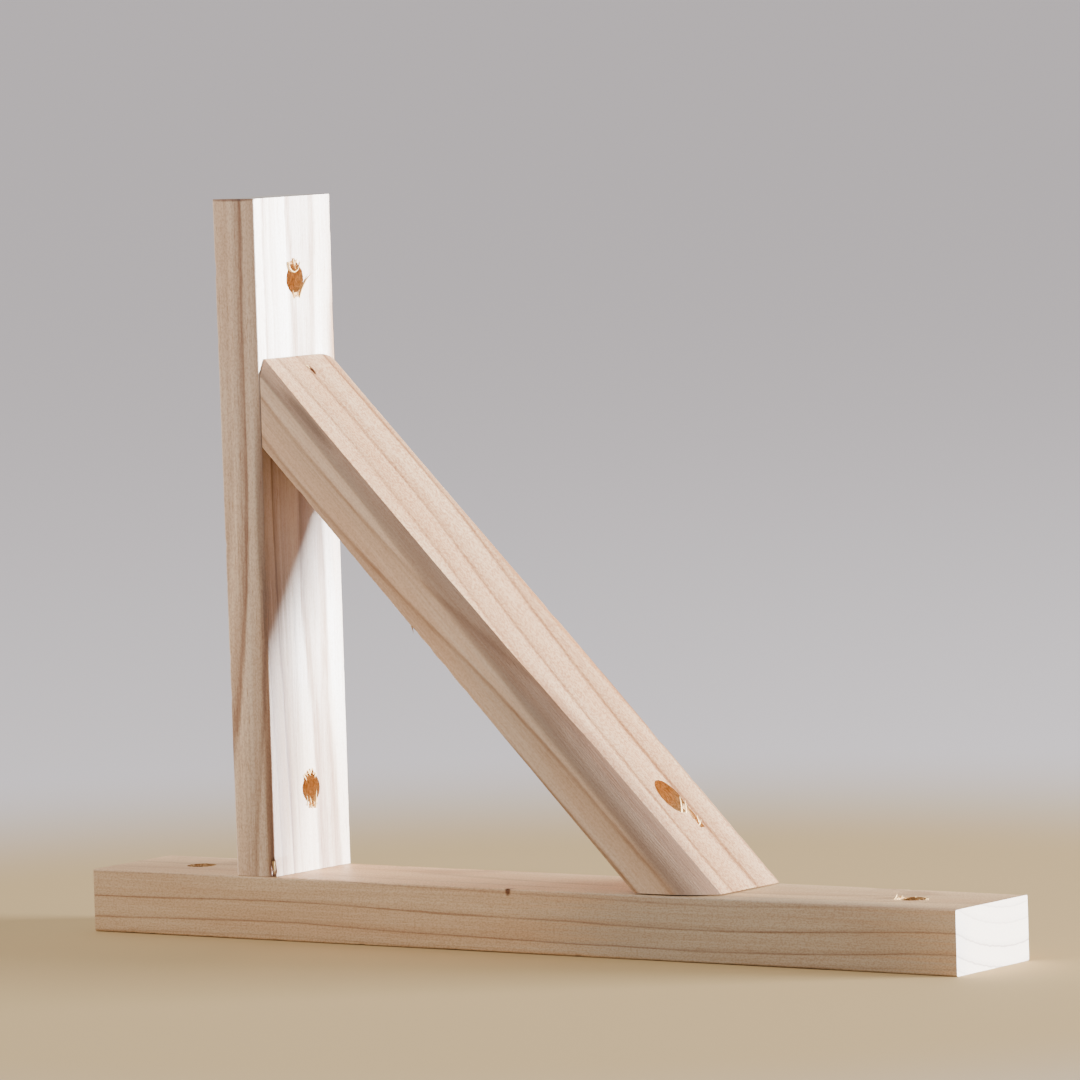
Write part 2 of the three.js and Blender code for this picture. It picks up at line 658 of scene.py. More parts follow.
        # The fibres stand up most, then the fuzz and the hard late wood
        roughness = graph.math("MULTIPLY_ADD", fibres, 0.18, 0.38)
        shader = graph.surface(colour, roughness, self.gloss)
        grain_height = graph.math("MULTIPLY_ADD", fibres, 0.55, graph.math("MULTIPLY", late_share, 0.30))
        height = graph.math("MULTIPLY_ADD", fuzz, 0.40, grain_height)
        graph.relief(shader, height, depth=0.22, strength=0.55)
        return graph.material

    @staticmethod
    def tone(graph: Graph, turn: Turn, colour: Socket, tint: FaceTint, fuzz: Socket) -> Socket:
        """Tones the surfaces that face one way, painting light or shade on them.

        Args:
            graph: The material's graph.
            turn: How the lath is turned.
            colour: The wood's colour so far.
            tint: The tone.
            fuzz: The wood's fine grain, which makes the speckle.

        Returns:
            The toned colour.
        """
        coordinates = graph.nodes.new("ShaderNodeTexCoord")
        facing = Matrix.Rotation(turn.value, 3, "Y") @ Vector(tint.facing).normalized()
        squareness = graph.vector("DOT_PRODUCT", coordinates.outputs["Normal"], facing)
        share = graph.range(squareness, tint.starts, tint.full)
        colour = graph.mix(share, colour, tint.colour, "MULTIPLY")
        speckle = graph.range(fuzz, 0.42, 0.60, 0.0, tint.specks)
        return graph.stain(colour, share, speckle, Stain.TORN_END.value)

    @staticmethod
    def mark(graph: Graph, place: Socket, colour: Socket, patch: MarkAndPaintedLight, streaks: Socket) -> Socket:
        """Colours the wood at a mark or a patch of painted light or shade, which fades out from its
        middle to a ragged edge.

        Args:
            graph: The material's graph.
            place: The place on the lath.
            colour: The wood's colour so far.
            patch: The mark, or the patch of painted light or shade.
            streaks: The wood's streaks, which break its edge.

        Returns:
            The colour with the blemish in it.
        """
        raggedness = 0.7
        offset = graph.vector("SUBTRACT", place, patch.place)
        distance = graph.vector("LENGTH", graph.vector("DIVIDE", offset, patch.size))
        centred = graph.math("SUBTRACT", distance, raggedness / 2)
        ragged = graph.math("MULTIPLY_ADD", streaks, raggedness, centred)
        return graph.mix(graph.range(ragged, 1.05, 0.45), colour, patch.colour, "MULTIPLY")


@dataclass(frozen=True)
class TornWood:
    """Wood that was torn instead of planed, with one pattern for its colour and its relief.

    Attributes:
        name: The end of the material's name.
        dark: Its colour in the deeper tears.
        light: Its colour on the paler fibres.
        stretch: How many fibres there are to a millimetre, along each direction.
        seed: A shift that makes one pattern differ from another.
        detail: The pattern's detail.
        contrast: The pattern's values where the colour is dark and where it is light.
        roughness: The roughness.
        gloss: The specular level.
        depth: The bump's full depth.
        strength: The bump's strength.
    """

    name: str
    dark: Colour
    light: Colour
    stretch: Point
    seed: float
    detail: float
    contrast: tuple[float, float]
    roughness: float
    gloss: float
    depth: float
    strength: float

    def build(self, node: str, origin: Vector, turn: Turn) -> bpy.types.Material:
        """Makes the material.

        Args:
            node: The frame's node that it is for.
            origin: Where the lath's own zero is, in metres.
            turn: How the lath is turned.

        Returns:
            The finished material.
        """
        graph = Graph(f"{node}_{self.name}")
        place = graph.lath_place(origin, turn)
        torn = graph.noise(place, self.stretch, self.seed, self.detail).outputs["Fac"]
        colour = graph.mix(graph.range(torn, *self.contrast), self.dark, self.light)
        shader = graph.surface(colour, self.roughness, self.gloss)
        graph.relief(shader, torn, self.depth, self.strength)
        return graph.material


# The rough, warm brown wall of a drilled hole
BORED_WOOD = TornWood(
    name="bored_wood",
    dark=(0.46, 0.235, 0.085),
    light=(0.74, 0.47, 0.23),
    stretch=(0.5, 2.4, 2.4),
    seed=17.0,
    detail=4.0,
    contrast=(0.35, 0.68),
    roughness=0.85,
    gloss=0.12,
    depth=0.5,
    strength=0.8,
)

# The pale, silky fibre of a strand
TORN_FIBRE = TornWood(
    name="torn_fibre",
    dark=(0.50, 0.28, 0.09),
    light=(0.74, 0.52, 0.25),
    stretch=(0.6, 3.5, 3.5),
    seed=5.0,
    detail=3.0,
    contrast=(0.32, 0.62),
    roughness=0.6,
    gloss=0.25,
    depth=0.2,
    strength=0.5,
)


@dataclass(frozen=True)
class PaleFloor:
    """A plain matt floor, warm where the bracket stands and neutral further off.

    Attributes:
        name: The material's name.
        near: Its colour under the bracket.
        far: Its colour far away.
        near_reach: How far the near colour reaches, in metres.
        far_start: Where the far colour starts, in metres.
    """

    name: str = "pale_floor"
    near: Colour = (0.53, 0.37, 0.18)
    far: Colour = (0.66, 0.60, 0.60)
    near_reach: float = 0.25
    far_start: float = 0.6

    def build(self) -> bpy.types.Material:
        """Makes the material and returns it."""
        graph = Graph(self.name)
        coordinates = graph.nodes.new("ShaderNodeTexCoord")
        distance = graph.vector("LENGTH", coordinates.outputs["Object"])
        colour = graph.mix(graph.range(distance, self.near_reach, self.far_start), self.near, self.far)
        graph.surface(colour, roughness=0.9, specular=0.1)
        return graph.material


@dataclass(frozen=True)
class Bore:
    """A drilled hole.

    Attributes:
        middle: A point on its axis.
        way: The drill's direction.
        diameter: Its diameter.
        reach: How far the drill runs to each side of the middle.
        roughness: How far its wall strays from round.
        seed: A shift that makes one wall differ from another.
    """

    middle: Vector
    way: Vector
    diameter: float
    reach: float
    roughness: float = 0.22
    seed: float = 0.0

    def cutter(self) -> bpy.types.Mesh:
        """Returns the drill as a closed mesh with an uneven wall."""
        sides = 56
        rings = 14
        radius = self.diameter / 2
        axis = Vector((0, 0, 1))
        work = bmesh.new()
        bmesh.ops.create_cone(
            work, cap_ends=True, segments=sides, radius1=radius, radius2=radius, depth=2 * self.reach
        )
        for number in range(1, rings):
            level = self.reach * (2 * number / rings - 1)
            slice_at(work, axis * level, axis)
        for vertex in work.verts:
            flat = Vector((vertex.co.x, vertex.co.y, 0.0)).normalized()
            wave = wobble(flat.x * 2.2, flat.y * 2.2, vertex.co.z * 0.35 + self.seed)
            tooth = wobble(flat.x * 9.0, flat.y * 9.0, vertex.co.z * 0.8 + self.seed)
            vertex.co += flat * self.roughness * (0.6 * wave + 0.4 * tooth)
        turned = axis.rotation_difference(self.way).to_matrix().to_4x4()
        bmesh.ops.transform(work, matrix=Matrix.Translation(self.middle) @ turned, verts=work.verts)
        return mesh_of(work, "drill")


@dataclass(frozen=True)
class Scoop:
    """A shallow place where fibres have been torn or knocked out.

    Attributes:
        middle: Its middle.
        size: Its half size along the grain, back and out.
        groove: How deeply the fibres' edges groove it.
        unevenness: How far its own shape strays from round.
        seed: A shift that makes one differ from another.
        bored: Whether it is part of a drilled hole's torn rim, and looks as the hole does.
    """

    middle: Point
    size: Point
    groove: float = 0.35
    unevenness: float = 0.18
    seed: float = 0.0
    bored: bool = False

    def cutter(self) -> bpy.types.Mesh:
        """Returns the torn-out lump as a closed mesh."""
        work = bmesh.new()
        bmesh.ops.create_icosphere(work, subdivisions=4, radius=1.0)
        for vertex in work.verts:
            ball = vertex.co.copy()
            ridge = wobble(ball.x * 0.9, ball.y * 4.5, ball.z * 4.5 + self.seed)
            lump = wobble(ball.x * 2.2, ball.y * 2.0, ball.z * 2.0 - self.seed)
            vertex.co = ball * (1.0 + self.groove * ridge + self.unevenness * lump)
        size = Matrix.Diagonal((*self.size, 1.0))
        bmesh.ops.transform(work, matrix=Matrix.Translation(self.middle) @ size, verts=work.verts)
        return mesh_of(work, "scoop")


@dataclass(frozen=True)
class Sliver:
    """A thin tapering strand of wood that stands up from where it is still held.

    Attributes:
        root: Where it is held.
        way: The direction that it starts in.
        length: Its length.
        width: Its width at the root.
        curl: How far it curls in all, in radians.
        axis: The axis that it curls about.
        thin: Its thickness as a share of its width.
    """

    root: Point
    way: Point
    length: float
    width: float
    curl: float = 0.4
    axis: Point = (0.0, 1.0, 0.0)
    thin: float = 0.45

    @staticmethod
    def taper(share: float) -> float:
        """Returns the strand's width at a share of its length, where the root's width is 1."""
        lost_at_tip = 0.93
        held_back = 1.6
        return 1.0 - lost_at_tip * share ** held_back

    def grow(self, work: bmesh.types.BMesh) -> None:
        """Adds the strand to a mesh, one short length at a time.

        Args:
            work: The mesh.
        """
        steps = 9
        sides = 6
        step = self.length / steps
        way = Vector(self.way).normalized()
        axis = Vector(self.axis).normalized()
        made = bmesh.ops.create_circle(work, cap_ends=True, segments=sides, radius=self.width / 2)
        ring = made["verts"]
        bmesh.ops.scale(work, vec=(1.0, self.thin, 1.0), verts=ring)
        side = axis.cross(way).normalized()
        basis = Matrix((axis, side, way)).transposed().to_4x4()
        bmesh.ops.transform(work, matrix=Matrix.Translation(self.root) @ basis, verts=ring)
        cap = ring[0].link_faces[0]
        middle = Vector(self.root)
        bend = Matrix.Rotation(self.curl / steps, 3, axis)
        for number in range(steps):
            made = bmesh.ops.extrude_face_region(work, geom=[cap])
            ring = [item for item in made["geom"] if isinstance(item, bmesh.types.BMVert)]
            cap = next(item for item in made["geom"] if isinstance(item, bmesh.types.BMFace))
            bmesh.ops.translate(work, vec=way * step, verts=ring)
            middle = middle + way * step
            bmesh.ops.rotate(work, cent=middle, matrix=bend, verts=ring)
            way = bend @ way
            narrower = self.taper((number + 1) / steps) / self.taper(number / steps)
            around = Matrix.Translation(middle)
            narrowed = around @ Matrix.Scale(narrower, 4) @ around.inverted()
            bmesh.ops.transform(work, matrix=narrowed, verts=ring)


def rim_fuzz(
    middle: Vector, radius: float, arc: tuple[float, float], count: int, length: float, seed: int
) -> list[Sliver]:
    """Makes short torn fibres along part of a hole's rim, leaning in over the hole.

    Args:
        middle: The hole's middle on the broad face.
        radius: The rim's radius.
        arc: Where the fibres start and end round the rim, in degrees from the x direction towards y.
        count: How many there are.
        length: Their usual length.
        seed: The seed of their differences.

    Returns:
        The fibres.
    """
    draw = random.Random(seed)
    start, end = arc
    fibres = []
    for number in range(count):
        share = (number + draw.uniform(0.1, 0.9)) / count
        angle = math.radians(start + (end - start) * share)
        outward = Vector((math.cos(angle), math.sin(angle), 0.0))
        root = Vector((middle.x, middle.y, draw.uniform(-0.7, -0.1))) + outward * radius
        stray = Vector((draw.uniform(-0.5, 0.5), draw.uniform(-0.5, 0.5), draw.uniform(0.1, 0.7)))
        long = length * draw.uniform(0.6, 1.3)
        width = draw.uniform(0.5, 1.0)
        curl = draw.uniform(-0.9, 0.9)
        fibres.append(Sliver(tuple(root), tuple(stray - outward), long, width, curl))
    return fibres


def carved(body: bpy.types.Mesh, tools: Sequence[bpy.types.Mesh]) -> bpy.types.Mesh:
    """Cuts tools out of a body.

    Args:
        body: What is cut.
        tools: The closed meshes that are taken away, each with its own material.

    Returns:
        What is left, with the tools' materials on the cut faces.
    """
    work = add_to_scene("work", body)
    cutters = [add_to_scene("cutter", tool) for tool in tools]
    for cutter in cutters:
        cut = work.modifiers.new("cut", "BOOLEAN")
        cut.operation = "DIFFERENCE"
        cut.solver = "MANIFOLD"
        cut.material_mode = "TRANSFER"
        cut.object = cutter
    finished = work.evaluated_get(bpy.context.evaluated_depsgraph_get())
    result = bpy.data.meshes.new_from_object(finished)
    for spent in [work, *cutters]:
        bpy.data.objects.remove(spent)
    return result


@dataclass
class Wane:
    """The worn shape of an upper arris, which may change along the lath.

    Attributes:
        width: Its width on the broad face at each place along the lath.
        depth: Its depth on the narrow face at each place.
        roundness: 0 for a flat and 1 for a full round at each place.
    """

    width: Callable[[float], float]
    depth: Callable[[float], float]
    roundness: Callable[[float], float]


@dataclass
class Lath:
    """One lath of the bracket.

    Attributes:
        name: The piece's name.
        node: The frame's node that it stands for.
        slot: The record's material slot, which is not used.
        turn: How it is turned.
        finish: Its wood.
        ends: Where it starts and ends along x, on its broad face.
        width: Its width.
        thickness: Its thickness.
        origin: Where its own zero is, in metres.
        eases: How far each long arris is eased.
        seed: The seed of its wear.
        mitre: How far each end slopes in over its thickness, 0 for a square end.
        flare: How much thicker it is at its start than at its end.
        wear_depth: How deep its arrises' nicks are.
        station: How far apart the cuts across it are.
        wanes: The upper arrises that are worn to a shape of their own.
        bores: Its drilled holes.
        scoops: The places where it is torn or chipped.
        slivers: The strands that stand up from it.
    """

    name: str
    node: str
    slot: str
    turn: Turn
    finish: Softwood
    ends: tuple[float, float]
    width: float
    thickness: float
    origin: Vector
    eases: dict[Arris, float]
    seed: int
    mitre: float = 0.0
    flare: float = 0.0
    wear_depth: float = 0.16
    station: float = 2.0
    wanes: dict[Arris, Wane] = field(default_factory=dict)
    bores: list[Bore] = field(default_factory=list)
    scoops: list[Scoop] = field(default_factory=list)
    slivers: list[Sliver] = field(default_factory=list)

    @property
    def place(self) -> Matrix:
        """The change from the lath's own millimetres to the scene's metres."""
        turned = Matrix.Rotation(self.turn.value, 4, "Y")
        return Matrix.Translation(self.origin) @ turned @ Matrix.Scale(MM, 4)

    def opening(self, name: str) -> Vector:
        """Returns the middle of one of the frame's openings in the lath's own millimetres."""
        return self.place.inverted() @ opening_middle(name)

    def corner(self, arris: Arris) -> tuple[float, float]:
        """Returns the y and z of an arris before it is eased or worn."""
        back, upper = arris.value
        return self.width if back > 0 else 0.0, 0.0 if upper > 0 else -self.thickness

    def block(self) -> bmesh.types.BMesh:
        """Makes the planed lath: a square-ended block with eased arrises, divided along and across.

        Returns:
            The block.
        """
        work = bmesh.new()
        bmesh.ops.create_cube(work, size=1.0)
        length = self.ends[1] - self.ends[0]
        bmesh.ops.scale(work, vec=(length, self.width, self.thickness), verts=work.verts)
        middle = (sum(self.ends) / 2, self.width / 2, -self.thickness / 2)
        bmesh.ops.translate(work, vec=middle, verts=work.verts)
        for arris, ease in self.eases.items():
            self.ease_arris(work, arris, ease)
        self.divide(work)
        return work

    def ease_arris(self, work: bmesh.types.BMesh, arris: Arris, ease: float) -> None:
        """Rounds one long arris of the block.

        Args:
            work: The block.
            arris: Which arris it is.
            ease: How far it is eased.
        """
        corner_y, corner_z = self.corner(arris)
        facets = 8 if arris in self.wanes else 4
        chosen = [
            edge
            for edge in work.edges
            if all(
                max(abs(end.co.y - corner_y), abs(end.co.z - corner_z)) < NEAR_ARRIS
                for end in edge.verts
            )
        ]
        bmesh.ops.bevel(
            work,
            geom=chosen,
            offset=ease,
            offset_type="OFFSET",
            segments=facets,
            profile=0.5,
            affect="EDGES",
            material=-1,
        )

    def divide(self, work: bmesh.types.BMesh) -> None:
        """Cuts the block's faces along and across, so that its wear has something to move.

        Args:
            work: The block.
        """
        start, end = self.ends
        stations = round((end - start) / self.station)
        for number in range(1, stations):
            x = start + (end - start) * number / stations
            slice_at(work, Vector((x, 0, 0)), Vector((1, 0, 0)))
        margin = 10.0
        columns = 6
        for number in range(columns + 1):
            y = margin + (self.width - 2 * margin) * number / columns
            slice_at(work, Vector((0, y, 0)), Vector((0, 1, 0)))
        levels = 3
        lowest = 2.0
        upper_part = 0.45 * self.thickness
        for number in range(levels):
            z = -self.thickness + lowest + (self.thickness - lowest - upper_part) * number / levels
            slice_at(work, Vector((0, 0, z)), Vector((0, 0, 1)))

    def wane_off(self, work: bmesh.types.BMesh, arris: Arris, wane: Wane) -> None:
        """Moves an upper arris from the round that it was made with to its own worn shape.

        Args:
            work: The block.
            arris: Which arris it is.
            wane: Its worn shape.
        """
        made = self.eases[arris]
        back = arris.value[0] > 0
        for vertex in work.verts:
            inward = self.width - vertex.co.y if back else vertex.co.y
            if inward > made + NEAR_ARRIS or vertex.co.z < -made - NEAR_ARRIS:
                continue
            turn = math.atan2(vertex.co.z + made, made - inward) / QUARTER_TURN
            width = wane.width(vertex.co.x)
            depth = wane.depth(vertex.co.x)
            round_share = wane.roundness(vertex.co.x)
            round_in = width * (1 - math.cos(turn * QUARTER_TURN))
            round_down = depth * (1 - math.sin(turn * QUARTER_TURN))
            flat_in = width * turn ** SOFT_FOOT
            new_in = round_share * round_in + (1 - round_share) * flat_in
            new_down = round_share * round_down + (1 - round_share) * depth * (1 - turn)
            vertex.co.y = self.width - new_in if back else new_in
            vertex.co.z = -new_down

    def wear(self, work: bmesh.types.BMesh) -> None:
        """Makes the faces slightly uneven and nicks the arrises, inward only.

        Args:
            work: The block.
        """
        draw = random.Random(self.seed)
        nick_count = 9
        nicks: dict[Arris, list[tuple[float, float, float]]] = {}
        for arris in Arris:
            nicks[arris] = []
            for _ in range(nick_count):
                place = draw.uniform(*self.ends)
                half = draw.uniform(1.0, 3.5)
                nicks[arris].append((place, half, draw.uniform(0.4, 1.6) * self.wear_depth))
        work.normal_update()
        moves = []
        for vertex in work.verts:
            spot = vertex.co
            slow = wobble(spot.x * 0.018, spot.y * 0.05, spot.z * 0.05 + self.seed)
            quick = wobble(spot.x * 0.16, spot.y * 0.5, spot.z * 0.5 - self.seed)
            inward = 0.10 + 0.07 * slow + 0.03 * quick
            move = -vertex.normal * inward
            move.x = 0.0
            for arris in Arris:
                move += self.nick(spot, arris, nicks[arris])
            moves.append((vertex, move))
        for vertex, move in moves:
            vertex.co += move
            vertex.co.z = max(vertex.co.z, -self.thickness)

    def thicken(self, work: bmesh.types.BMesh) -> None:
        """Thickens the lath towards its start, with its broad face left where it is.

        Args:
            work: The block.
        """
        start, end = self.ends
        for vertex in work.verts:
            share = (end - vertex.co.x) / (end - start)
            vertex.co.z *= 1.0 + share * self.flare / self.thickness

    def nick(self, spot: Vector, arris: Arris, nicks: list[tuple[float, float, float]]) -> Vector:
        """Finds how far an arris's wear moves a point.

        Args:
            spot: The point.
            arris: The arris.
            nicks: Each nick's place, half length and depth.

        Returns:
            The move.
        """
        back, upper = arris.value
        corner_y, corner_z = self.corner(arris)
        distance = math.hypot(spot.y - corner_y, spot.z - corner_z)
        reach = 1.0 + 1.1 * self.eases[arris]
        if distance > reach:
            return Vector((0, 0, 0))
        nearness = eased(1.4 * (1 - distance / reach))
        rub = wobble(spot.x * 0.11, back * 3.7, upper * 5.1 + self.seed)
        depth = 0.35 * self.wear_depth * max(0.0, rub)
        for place, half, deep in nicks:
            depth += deep * eased(1 - abs(spot.x - place) / half)
        return Vector((0, -back, -upper)).normalized() * depth * nearness

    def mitre_ends(self, work: bmesh.types.BMesh) -> None:
        """Saws both ends off at the slope of the mitre.

        Args:
            work: The block.
        """
        for sign, end in zip((-1, 1), self.ends):
            normal = Vector((sign, 0, -self.mitre / self.thickness)).normalized()
            slice_at(work, Vector((end, 0, 0)), normal, keep_outer=False)
            rim = [edge for edge in work.edges if edge.is_boundary]
            bmesh.ops.edgeloop_fill(work, edges=rim)

    def build(self) -> bpy.types.Object:
        """Makes the lath and its strands, dresses them and sets them in the frame.

        Returns:
            The lath's object.
        """
        wood = self.finish.build(self.origin, self.turn)
        bored = BORED_WOOD.build(self.node, self.origin, self.turn)
        work = self.block()
        for arris, wane in self.wanes.items():
            self.wane_off(work, arris, wane)
        self.wear(work)
        self.thicken(work)
        if self.mitre:
            self.mitre_ends(work)
        body = mesh_of(work, self.name)
        body.materials.append(wood)
        tools = [(bore.cutter(), bored) for bore in self.bores]
        tools += [(scoop.cutter(), bored if scoop.bored else wood) for scoop in self.scoops]
        for tool, material in tools:
            tool.materials.append(material)
        lath = self.set_down(carved(body, [tool for tool, _ in tools]), self.name)
        self.raise_slivers()
        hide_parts(self.node)
        return lath

    def raise_slivers(self) -> None:
        """Makes the lath's torn strands as one piece of their own."""
        work = bmesh.new()
        for sliver in self.slivers:
            sliver.grow(work)
        bmesh.ops.recalc_face_normals(work, faces=work.faces)
        name = f"{self.node}_torn_strands"
        mesh = mesh_of(work, name)
        mesh.materials.append(TORN_FIBRE.build(self.node, self.origin, self.turn))
        self.set_down(mesh, name)

    def set_down(self, mesh: bpy.types.Mesh, name: str) -> bpy.types.Object:
        """Puts a mesh made in the lath's own millimetres into the frame.

        Args:
            mesh: The mesh.
            name: The piece's name.

        Returns:
            The piece.
        """
        work = bmesh.new()
        work.from_mesh(mesh)
        bmesh.ops.transform(work, matrix=self.place, verts=work.verts)
        for face in work.faces:
            face.smooth = True
        for edge in work.edges:
            edge.smooth = len(edge.link_faces) == 2 and edge.calc_face_angle(0.0) < CREASE
        work.to_mesh(mesh)
        work.free()
        mesh.name = name
        piece = add_to_scene(name, mesh)
        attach(piece, BODY)
        return piece


class Member:
    """A sub-assembly of the bracket: one lath with its holes, chips and torn strands."""

    def timber(self) -> Lath:
        """Returns the planed lath in its own wood."""
        raise NotImplementedError

    def bore(self, timber: Lath) -> None:
        """Drills the lath's holes."""
        raise NotImplementedError

    def tear(self, timber: Lath) -> None:
        """Chips the lath and raises its torn strands."""
        raise NotImplementedError

    def build(self) -> bpy.types.Object:
        """Makes the lath, drills and tears it, and sets it in the frame.

        Returns:
            The lath's object.
        """
        timber = self.timber()
        self.bore(timber)
        self.tear(timber)
        return timber.build()


@dataclass
class WallPlate(Member):
    """The long lath that the bracket stands on.

    Attributes:
        node: The frame's node that it stands for.
        ease: How far its arrises are eased.
        hole_diameter: The screw holes' diameter.
        drill_reach: How far the drill runs to each side of a hole's middle.
        rim_radius: How far from a hole's middle its torn fibres are held.
    """

    node: str = "wall_plate"
    ease: float = 0.7
    hole_diameter: float = 9.0
    drill_reach: float = 24.0
    rim_radius: float = 4.6

    def wood(self) -> Softwood:
        """Describes its wood: thin dark lines that rise and fall a little along it.

        Returns:
            The finish.
        """
        return Softwood(
            name="wall_plate_softwood",
            seed=2.0,
            pith=(30.4, 57.4),
            rings=(
                (58.4, 0.45),
                (61.4, 0.4),
                (66.0, 0.4),
                (72.6, 0.85),
                (78.4, 0.8),
                (82.2, 0.35),
                (86.0, 0.3),
            ),
            band=0.8,
            shade=0.2,
            swings=(
                Swing(0.0, 1.1, 70.0, 60.0),
                Swing(0.0, -0.9, 215.0, 60.0),
                Swing(0.0, 1.6, 308.0, 50.0),
            ),
            marks_and_painted_light=(
                MarkAndPaintedLight((153.6, 0.0, -0.6), (1.3, 1.6, 1.9), (0.30, 0.18, 0.12)),
                MarkAndPaintedLight((154.4, 1.2, 0.0), (2.6, 0.7, 1.0), (0.45, 0.30, 0.22)),
                # Painted shade: the front face darker towards the right end
                MarkAndPaintedLight((240.0, 0.0, -10.0), (90.0, 13.0, 24.0), (0.72, 0.79, 0.90)),
            ),
            # Painted light: the top face lighter and warmer, standing for light thrown onto it from the
            # arm
            tints=(FaceTint((0.0, 0.0, 1.0), 0.80, 0.95, (1.14, 1.06, 0.90), 0.2),),
            pale=(0.75, 0.55, 0.34),
            warm=(0.71, 0.49, 0.29),
            gloss=0.3,
        )

    def timber(self) -> Lath:
        """Describes the planed lath.

        Returns:
            The lath.
        """
        low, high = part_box(self.node)
        return Lath(
            name="wall_plate_timber",
            node=self.node,
            slot="wall_plate_wood",
            turn=Turn.LYING,
            finish=self.wood(),
            ends=(0.0, (high[0] - low[0]) / MM),
            width=(high[1] - low[1]) / MM,
            thickness=(high[2] - low[2]) / MM,
            origin=Vector((low[0], low[1], high[2])),
            eases={arris: self.ease for arris in Arris},
            seed=7,
        )

    def bore(self, timber: Lath) -> None:
        """Drills the two screw holes.

        Args:
            timber: The planed lath.
        """
        straight_down = Vector((0, 0, 1))
        for number, name in enumerate(("tail_screw_hole", "far_screw_hole")):
            middle = timber.opening(name)
            timber.bores.append(
                Bore(middle, straight_down, self.hole_diameter, self.drill_reach, seed=3.0 * number)
            )
            timber.slivers += rim_fuzz(middle, self.rim_radius, (0.0, 360.0), 9, 1.0, 3 + number)

    def tear(self, timber: Lath) -> None:
        """Raises pale tufts beside the far hole and knocks two chips out of the arrises.

        Args:
            timber: The planed lath.
        """
        far = timber.opening("far_screw_hole")
        timber.slivers += rim_fuzz(far - Vector((1.2, 0, 0)), 4.4, (135.0, 225.0), 12, 1.9, 11)
        timber.slivers += rim_fuzz(far + Vector((0.8, 0, 0)), 4.4, (-40.0, 40.0), 6, 1.3, 12)
        timber.scoops += [
            Scoop((153.5, 0.0, 0.0), (0.9, 0.7, 0.9), seed=4.0),
            Scoop((119.0, 40.0, 0.0), (2.0, 0.9, 0.7), seed=5.0),
        ]


